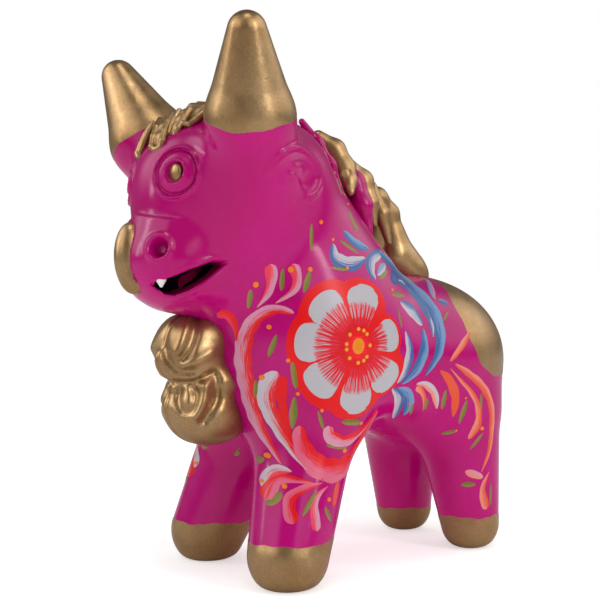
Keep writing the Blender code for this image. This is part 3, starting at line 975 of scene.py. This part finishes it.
# Each leaf is its two ends and its width, and each dot its middle and its radius.
LEAVES = (
    ((-37.5, 21), (-38.2, 13.5), 2.2), ((-26.4, 28), (-27.2, 19.7), 2.0),
    ((-16.7, 27), (-19.7, 19), 2.2), ((-16, 43.5), (-16, 33.5), 1.6),
    ((-29.2, 5), (-32, -3.3), 2.0), ((-35.6, -11), (-35.5, -18.8), 1.8),
    ((-24.2, -4.2), (-22.7, -14.6), 2.4), ((-23.3, -17), (-24.2, -28.7), 2.8),
    ((-15.4, -22), (-13.2, -29.3), 1.4), ((-6.5, -26.7), (3.1, -28.2), 2.4),
    ((-12.6, -34.4), (-3.3, -36.2), 2.2), ((-37, -42.6), (-32.6, -38.8), 2.6),
    ((-34.2, -46.6), (-30.1, -43.9), 1.8), ((-33.9, -54.6), (-28.9, -49.8), 3.2),
    ((-23.2, -58), (-17, -49.4), 1.8), ((-14.2, -55.3), (-11.6, -61.4), 1.8),
    ((2.7, 45), (5.6, 41), 1.3), ((-4.6, 37.7), (3.6, 32.5), 1.5),
    ((11.6, 23.4), (17, 26.5), 1.8), ((-9.3, 27.9), (-2.2, 26.9), 1.4),
    ((16.5, 17.8), (24.6, 16.7), 1.8), ((19.3, 12.2), (20.2, 4.9), 1.1),
    ((-2.3, 60.8), (-0.2, 53.7), 1.2), ((1.7, 48.9), (4.1, 40.2), 1.4),
    ((33.4, -21.7), (33.8, -26.9), 1.8), ((40.9, -18.8), (41, -27.3), 2.2),
    ((51.1, -23.6), (48.5, -33.3), 2.2), ((57.7, -21.5), (57.6, -30.4), 1.5),
    ((42.5, -37.2), (48.2, -36), 1.8), ((59.5, -37.1), (53.7, -43.8), 1.5),
    ((50.9, -57.6), (57.1, -57.7), 2.2), ((64, -58), (63.8, -67), 1.5),
    ((27.6, -23.3), (28.5, -28.7), 1.4), ((44.6, 10.4), (40.1, 6.6), 1.1),
)
DOTS = (
    (-35.8, 22.2, 1.1), (-23.6, 27.3, 1.2), (-16.8, 27.3, 0.9), (-12, 43.9, 0.8),
    (-31.6, 7.4, 0.9), (-25.5, -4.3, 0.8), (-33.7, -10.4, 1.0), (-22.2, -16.1, 0.7),
    (-13.9, -22.2, 0.7), (2.8, -28.3, 0.7), (-4.6, -37.3, 0.9), (-31.8, -38.1, 1.0),
    (-34, -46.9, 0.7), (-28, -47.8, 0.9), (-12.3, -53.3, 0.8), (-2.4, 62.3, 0.6),
    (2.5, 50.8, 0.5), (-2.4, 27.6, 0.7), (17.5, 19.3, 0.6), (-7.3, 37.7, 0.6),
    (56.5, -30.3, 0.7), (58.6, -35.5, 0.9), (47.9, -35.8, 0.5), (50.5, -23, 0.5),
    (26.1, -23.6, 0.5),
)
# Each petal is its angle in degrees and its reach.
PETALS = ((130, 24), (80, 22), (12, 18.3), (-44, 22.3), (-91, 24.5), (-140, 24), (174, 24))


def laid(drawing, side):
    """Points of the skin straight behind the points of a drawing on that side's flank."""
    turned = np.array((side, 1.0, 1.0))
    p = np.array(HEART) + drawing[:, :1] * RIGHT + drawing[:, 1:] * UP + OUT * CLEAR_OF_FLANK
    for _ in range(70):
        p -= OUT * np.clip(skin(p * turned), -1.0, 6.0)[:, None] * 0.9
    return p * turned


def spline(points, count):
    """A smooth curve through the points, at even steps."""
    p = np.array(points, float)
    if len(p) == 2:
        t = np.linspace(0, 1, count)[:, None]
        return p[0] * (1 - t) + p[1] * t
    p = np.vstack((2 * p[0] - p[1], p, 2 * p[-1] - p[-2]))
    curve = []
    for a, b, c, d in zip(p, p[1:], p[2:], p[3:]):
        for t in np.linspace(0, 1, 24, endpoint=False):
            curve.append(0.5 * (2 * b + (c - a) * t + (2 * a - 5 * b + 4 * c - d) * t ** 2
                                + (3 * b - a - 3 * c + d) * t ** 3))
    curve.append(p[-2])
    curve = np.array(curve)
    run = np.concatenate(([0], np.cumsum(np.linalg.norm(np.diff(curve, axis=0), axis=1))))
    even = np.linspace(0, run[-1], count)
    return np.column_stack([np.interp(even, run, curve[:, k]) for k in range(2)])


def width_along(shape, t):
    if shape == "comma":
        return np.sqrt(1 - (1 - np.minimum(t / 0.16, 1)) ** 2) * (1 - t) ** 0.75 * 1.15
    if shape == "club":
        return np.sqrt(1 - np.maximum((t - 0.8) / 0.2, 0) ** 2) * t ** 0.7
    if shape == "sweep":
        return np.sin(math.pi * np.clip(t, 0, 1) ** 0.75) ** 0.6
    return np.sqrt(np.maximum(1 - (2 * t - 1) ** 2, 0)) ** 1.3


class Brushwork:
    """Collects painted shapes, and lays them on both flanks as one thin conforming layer."""

    def __init__(self):
        self.points, self.faces, self.uvs = [], [], []
        self.rise, self.first, self.second, self.share = [], [], [], []
        self.count = 0

    def grid(self, drawing, uv, rise, first, second, share):
        """Adds a sheet: arrays of rows by columns, first index along the stroke."""
        rows, columns = drawing.shape[:2]
        base = sum(len(block) for block in self.points)
        self.points.append(drawing.reshape(-1, 2))
        self.uvs.append(uv.reshape(-1, 2))
        self.rise.append(rise.ravel())
        self.share.append(share.ravel())
        self.first.append(np.tile(first, (rows * columns, 1)))
        self.second.append(np.tile(second, (rows * columns, 1)))
        for i in range(rows - 1):
            for j in range(columns - 1):
                a = base + i * columns + j
                self.faces.append((a, a + 1, a + columns + 1, a + columns))
        self.count += 1

    def stroke(self, path, width, shape, left, right, columns=9):
        run = sum(math.dist(a, b) for a, b in zip(path, path[1:]))
        rows = max(8, int(run / 0.9))
        middle = spline(path, rows)
        along = np.gradient(middle, axis=0)
        along /= np.linalg.norm(along, axis=1)[:, None]
        aside = np.column_stack((along[:, 1], -along[:, 0]))
        t = np.linspace(0.0, 1.0, rows)
        half = np.maximum(width_along(shape, t), 0.02) * width / 2
        wobble = 1 + 0.07 * np.sin(t * run * 0.9 + self.count * 2.1)
        v = np.linspace(-1, 1, columns)
        drawing = middle[:, None] + aside[:, None] * (half * wobble)[:, None, None] * v[:, None]
        uv = np.empty((rows, columns, 2))
        uv[..., 0] = (t * run)[:, None] + self.count * 37.0
        uv[..., 1] = v * width / 2 + self.count * 5.3
        height = 0.10 + 0.03 * (self.count % 5)
        rise = np.where(np.abs(v) > 0.99, PAINT_RIM, height)[None] * np.ones((rows, 1))
        rise[0] = rise[-1] = PAINT_RIM
        fade = 0.35 if shape == "comma" else 0.0
        share = np.tile(v * 0.5 + 0.5, (rows, 1)) + fade * (0.6 - 1.6 * t[:, None])
        self.grid(drawing, uv, rise, left, right, share)

    def disc(self, centre, radii, height, first, second, ripple=None, sides=28):
        """A round or scalloped spot; its share runs from 0 at the middle to 1 at the rim."""
        angles = np.linspace(0, math.tau, sides + 1)
        rings = np.array((0.0, 0.3, 0.6, 0.85, 1.0))
        reach = np.ones(sides + 1) if ripple is None else ripple(angles)
        drawing = np.empty((sides + 1, len(rings), 2))
        drawing[..., 0] = centre[0] + radii[0] * rings * (reach * np.cos(angles))[:, None]
        drawing[..., 1] = centre[1] + radii[1] * rings * (reach * np.sin(angles))[:, None]
        uv = drawing + self.count * 9.7
        share = np.tile(rings, (sides + 1, 1))
        rise = np.where(rings > 0.99, PAINT_RIM, height)[None] * np.ones((sides + 1, 1))
        self.grid(drawing, uv, rise, first, second, share)

    def lay(self, stem, finish):
        drawing = np.vstack(self.points)
        for side, word in ((1, "left"), (-1, "right")):
            p = laid(drawing, side)
            p = settled(p, skin, 2)
            normal = outward(p, skin)
            p += normal * np.concatenate(self.rise)[:, None]
            mesh = bpy.data.meshes.new(stem)
            used, faces = np.unique(self.on_one_form(p, drawing), return_inverse=True)
            mesh.from_pydata(p[used].tolist(), [], faces.reshape(-1, 4).tolist())
            layer = mesh.uv_layers.new(name="stroke")
            corner = np.empty(len(mesh.loops), int)
            mesh.loops.foreach_get("vertex_index", corner)
            layer.data.foreach_set("uv", np.vstack(self.uvs)[used][corner].ravel())
            for key, rows in (("first", self.first), ("second", self.second)):
                values = np.vstack(rows)[used]
                mesh.attributes.new(key, "FLOAT_COLOR", "POINT").data.foreach_set(
                    "color", values.ravel())
            mesh.attributes.new("share", "FLOAT", "POINT").data.foreach_set(
                "value", np.concatenate(self.share)[used])
            self.turn_out(mesh, normal[used])
            add_piece(f"{stem}_{word}", mesh, finish, (), normal[used])

    def on_one_form(self, p, drawing):
        """The faces that lie on one form, without those stretched from one leg to another."""
        faces = np.array(self.faces)
        keep = np.abs(skin(p))[faces].max(axis=1) < 0.6
        for a, b in ((0, 1), (1, 2), (2, 3), (3, 0)):
            far = np.linalg.norm(p[faces[:, a]] - p[faces[:, b]], axis=1)
            flat = np.linalg.norm(drawing[faces[:, a]] - drawing[faces[:, b]], axis=1)
            keep &= far < 1.2 + 3.5 * flat
        return faces[keep]

    @staticmethod
    def turn_out(mesh, normal):
        """Turns the faces whose winding looks into the clay."""
        with opened(mesh) as bm:
            bm.normal_update()
            wrong = [f for f in bm.faces
                     if f.normal.dot(Vector(normal[f.verts[0].index])) < 0]
            bmesh.ops.reverse_faces(bm, faces=wrong)


def scallop(angles):
    """Reach of the flower's red edge at each angle."""
    reach = np.full(len(angles), 17.0)
    for turn, far in PETALS:
        off = np.angle(np.exp(1j * (angles - math.radians(turn))))
        bow = far + 3.1 - 1.0 * np.cos(angles) - 9.0 * np.abs(off / 0.75) ** 2.6
        reach = np.maximum(reach, bow)
    return reach


def make_flower():
    ground = Brushwork()
    ground.disc((0, 0), (1, 1), 0.22, RED, RED, ripple=scallop, sides=140)
    ground.lay("flower_ground", paint_finish("flower_red"))

    petals = Brushwork()
    for turn, far in PETALS:
        a = math.radians(turn)
        axis = np.array((math.cos(a), math.sin(a)))
        across = np.array((-axis[1], axis[0]))
        rows, columns = 21, 13
        drawing = np.empty((rows, columns, 2))
        uv = np.empty((rows, columns, 2))
        for i, s in enumerate(np.linspace(-1, 1, rows)):
            tip = far * (0.74 + 0.26 * math.sqrt(max(0.0, 1 - abs(s) ** 2.2)))
            for j in range(columns):
                r = 0.30 * far + (tip - 0.30 * far) * j / (columns - 1)
                spread = 1.8 + (0.14 * far + 2.1) * ramp(r / far, 0.1, 0.85)
                drawing[i, j] = axis * r + across * spread * s
                uv[i, j] = (r * 0.6, s * 5 + turn)
        near = np.linalg.norm(drawing, axis=2) / far
        share = -0.5 + 0.95 * ramp(near, 0.32, 0.5) + 1.1 * ramp(near, 0.68, 0.78)
        rise = np.full((rows, columns), 0.30)
        rise[0] = rise[-1] = 0.16
        rise[:, -1] = rise[:, 0] = 0.16
        petals.grid(drawing, uv, rise, srgb(206, 36, 62), srgb(174, 172, 178), share)
    petals.lay("flower_petals", paint_finish("flower_white"))

    veins = Brushwork()
    for number, (turn, far) in enumerate(PETALS):
        for k in (-2.5, -1.5, -0.5, 0.5, 1.5, 2.5):
            a = math.radians(turn + k * 7.2 + 1.2 * math.sin(5 * k + number))
            start = 0.18 * far
            end = far * (0.76 - 0.018 * abs(k) - 0.02 * ((k + number) % 2))
            path = ((start * math.cos(a), start * math.sin(a)),
                    (end * math.cos(a), end * math.sin(a)))
            veins.stroke(path, 0.85, "sweep", srgb(206, 0, 34), RED, columns=5)
    veins.rise = [np.where(rise > 0, 0.38, 0.26) for rise in veins.rise]
    veins.disc((0, 0), (6.4, 7.0), 0.42, srgb(236, 14, 40), RED,
               ripple=lambda a: 1 + 0.05 * np.sin(21 * a), sides=84)
    veins.lay("flower_veins", paint_finish("flower_veins"))

    heart = Brushwork()
    heart.disc((0, 0), (2.75, 3.3), 0.52, ORANGE, srgb(222, 132, 10))
    for k in range(11):
        a = math.tau * (k + 0.3 * math.sin(k * 1.7)) / 11
        heart.disc((4.8 * math.cos(a), 6.0 * math.sin(a)), (0.85, 0.85), 0.50,
                   srgb(232, 160, 60), ORANGE, sides=14)
    heart.lay("flower_heart", paint_finish("flower_orange"))


def make_brushwork():
    for stem, strokes in (("red_strokes", RED_STROKES), ("blue_strokes", BLUE_STROKES),
                          ("coral_strokes", CORAL_STROKES)):
        brush = Brushwork()
        for stroke in strokes:
            brush.stroke(*stroke)
        if stem == "blue_strokes":
            brush.disc((20.3, 23.4), (2.6, 2.6), 0.3, BLUE, srgb(50, 70, 130), sides=20)
        brush.lay(stem, paint_finish(stem))
    green = Brushwork()
    for start, end, width in LEAVES:
        green.stroke((start, end), width, "leaf", LEAF, OLIVE, columns=7)
    green.lay("green_leaves", paint_finish("green_leaves"))
    spots = Brushwork()
    for u, v, radius in DOTS:
        spots.disc((u, v), (radius, radius), 0.24, ORANGE, srgb(236, 110, 30), sides=14)
    spots.lay("orange_dots", paint_finish("orange_dots"))


# ---- light and camera -----------------------------------------------------------------------

class Surround(Nodes):
    """The same helper for the world's nodes."""

    def __init__(self, tree):
        self.tree = tree

    def pick(self, fac, a, b):
        node = self.add("Mix")
        for socket, value in zip(("Factor", "A", "B"), (fac, a, b)):
            self.feed(node.inputs[socket], value)
        return node.outputs["Result"]


def floor_finish():
    """Pale paper that glows a little, except in reflections."""
    n = Nodes("floor_paper")
    n.shader.inputs["Emission Color"].default_value = (1, 1, 1, 1)
    mirrored = n.add("LightPath").outputs["Is Glossy Ray"]
    n.set(Emission_Strength=n.span(mirrored, 0.0, 1.0, 0.54, 0.0))
    grain = n.noise(n.place(), 40, 2)
    pale, shade = 0.88, 0.88 * 0.985
    n.set(Base_Color=n.blend(grain, (pale,) * 3 + (1,), (shade,) * 3 + (1,)), Roughness=0.9)
    return n.material


def make_floor():
    bm = bmesh.new()
    bmesh.ops.create_grid(bm, x_segments=2, y_segments=2, size=4.0)
    mesh = closed(bm, "floor")
    mesh.materials.append(floor_finish())
    new_object("floor", mesh)


def make_studio():
    """Soft white surroundings. The glaze mirrors two bright walls, left and right of the view."""
    world = bpy.data.worlds.new("studio")
    bpy.context.scene.world = world
    world.use_nodes = True
    n = Surround(world.node_tree)
    sky = world.node_tree.nodes["Background"]
    where = n.add("TexCoord").outputs["Generated"]
    split = n.add("SeparateXYZ", {"Vector": where})
    x, y, z = (split.outputs[axis] for axis in "XYZ")
    sin, cos = math.sin(VIEW_TURN), math.cos(VIEW_TURN)
    ahead = n.math("SUBTRACT", n.math("MULTIPLY", x, sin), n.math("MULTIPLY", y, cos))
    aside = n.math("ADD", n.math("MULTIPLY", x, cos), n.math("MULTIPLY", y, sin))
    turn = n.math("ARCTAN2", aside, ahead)
    right = n.math("MULTIPLY", n.span(turn, 0.15, 0.40), n.span(turn, 2.8, 2.0))
    left = n.math("MULTIPLY", n.span(turn, -0.35, -0.8), n.span(turn, -2.4, -1.9))
    bright = n.math("MULTIPLY", n.math("MAXIMUM", right, left), n.span(z, -0.05, 0.45))
    bright = n.math("MULTIPLY", bright, n.span(z, 0.95, 0.7))
    mirrored = n.span(bright, 0.0, 1.0, 0.13, 1.9)
    light = n.add("LightPath")
    lit = n.pick(light.outputs["Is Glossy Ray"], 0.56, mirrored)
    n.feed(sky.inputs["Strength"], n.pick(light.outputs["Is Camera Ray"], lit, 1.0))
    sky.inputs["Color"].default_value = (1.0, 1.0, 1.0, 1.0)


def softbox(name, place, aim, size, power):
    light = bpy.data.lights.new(name, "AREA")
    light.shape = "RECTANGLE"
    light.size, light.size_y = size
    light.energy = power
    obj = new_object(name, light)
    away = Vector(aim) - Vector(place)
    obj.matrix_world = (Matrix.Translation(place)
                        @ away.to_track_quat("-Z", "Y").to_matrix().to_4x4())


def make_camera():
    azimuth, elevation, roll = VIEW_TURN, math.radians(2.42), math.radians(-0.56)
    back = Vector((math.sin(azimuth) * math.cos(elevation),
                   -math.cos(azimuth) * math.cos(elevation), math.sin(elevation)))
    level = Vector((math.cos(azimuth), math.sin(azimuth), 0))
    rise = back.cross(level)
    across = math.cos(roll) * level + math.sin(roll) * rise
    upward = -math.sin(roll) * level + math.cos(roll) * rise
    camera = bpy.data.cameras.new("camera")
    camera.sensor_width = 36.0
    camera.lens = 74.17
    camera.shift_x = -0.0494
    camera.shift_y = 0.0100
    camera.clip_start = 0.01
    obj = new_object("camera", camera)
    aim, reach = Vector((0, SET_BACK * MM, 0.09728)), 0.4788
    turned = Matrix((across, upward, back)).transposed().to_4x4()
    obj.matrix_world = Matrix.Translation(aim + back * reach) @ turned
    bpy.context.scene.camera = obj


def make_softboxes():
    tall, square = (0.12, 0.6), (0.35, 0.35)
    for name, turn, reach, high, size, power in (
            ("left_box", -32, 0.9, 0.5, tall, 1.1),
            ("right_box", 104, 0.9, 0.5, tall, 2.0),
            ("top_box", 60, 0.25, 1.1, square, 1.8)):
        a = math.radians(turn)
        place = (math.sin(a) * reach, -math.cos(a) * reach, high)
        softbox(name, place, (0, 0, 0.09), size, power)


make_body()
make_face()
make_forelock()
make_mane()
make_dewlap()
make_tail_and_handle()
make_flower()
make_brushwork()
make_floor()
make_studio()
make_camera()
make_softboxes()
bpy.context.scene.view_settings.view_transform = "Standard"
